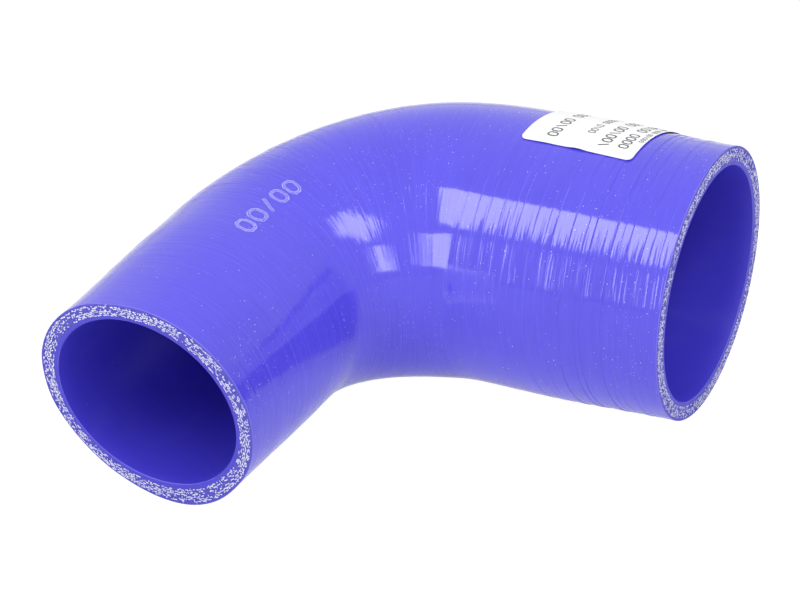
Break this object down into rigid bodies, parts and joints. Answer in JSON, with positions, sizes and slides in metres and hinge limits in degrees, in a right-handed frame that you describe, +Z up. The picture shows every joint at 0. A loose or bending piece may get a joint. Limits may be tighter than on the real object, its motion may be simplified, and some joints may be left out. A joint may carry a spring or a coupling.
{
  "type": "reducing hose elbow",
  "caption": "Blue silicone hose elbow, 90 degrees, reducing from a 63 mm to a 51 mm bore, with knife-cut fabric-reinforced ends and a blank paper label.",
  "frame": {"origin": "on the floor, under the middle of the elbow's bounding box", "axes": "+Z up from the floor it lies on, +X out of the large end, -Y out of the small end"},
  "size_m": [0.143, 0.1428, 0.0759],
  "materials": {
    "blue_silicone": "gloss",
    "white_paper": "satin"
  },
  "bodies": {
    "root": {"hose_body": "blue_silicone", "paper_label": "white_paper"}
  },
  "joints": []
}
